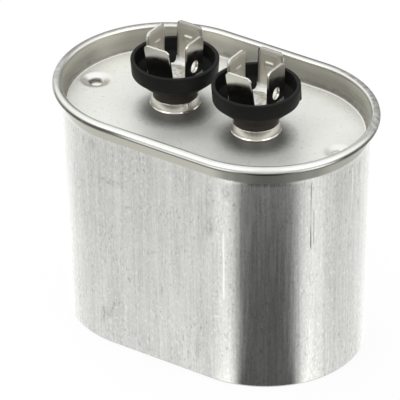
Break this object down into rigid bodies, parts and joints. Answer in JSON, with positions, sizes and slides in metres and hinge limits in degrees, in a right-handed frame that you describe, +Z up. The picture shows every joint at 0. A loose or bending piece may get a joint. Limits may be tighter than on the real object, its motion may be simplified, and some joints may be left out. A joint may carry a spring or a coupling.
{
  "type": "motor start capacitor",
  "caption": "Oval metal-can motor capacitor: recessed lid in a rolled rim, upright quick-connect tabs in black insulating cups. Stores charge to start a motor.",
  "frame": {"origin": "middle of the can's foot, on the surface that it stands on", "axes": "+X along the oval's long axis, from the left terminal to the right one; +Y across it, away from the viewer; +Z up, the way the tabs point"},
  "size_m": [0.0738, 0.0484, 0.0676],
  "materials": {
    "can_aluminium": "drawn, satin",
    "lid_tinplate": "tinned, semi-gloss",
    "collar_nickel": "nickel plated",
    "insulator_resin": "moulded, satin black",
    "bush_fibre": "plain",
    "terminal_brass": "tin plated",
    "rivet_steel": "plated"
  },
  "bodies": {
    "root": {"can": "can_aluminium", "lid": "lid_tinplate", "collar_left": "collar_nickel", "collar_right": "collar_nickel", "insulator_left": "insulator_resin", "insulator_right": "insulator_resin", "bush_left": "bush_fibre", "bush_right": "bush_fibre", "terminal_left": "terminal_brass", "terminal_right": "terminal_brass", "rivet_left": "rivet_steel", "rivet_right": "rivet_steel"}
  },
  "joints": []
}
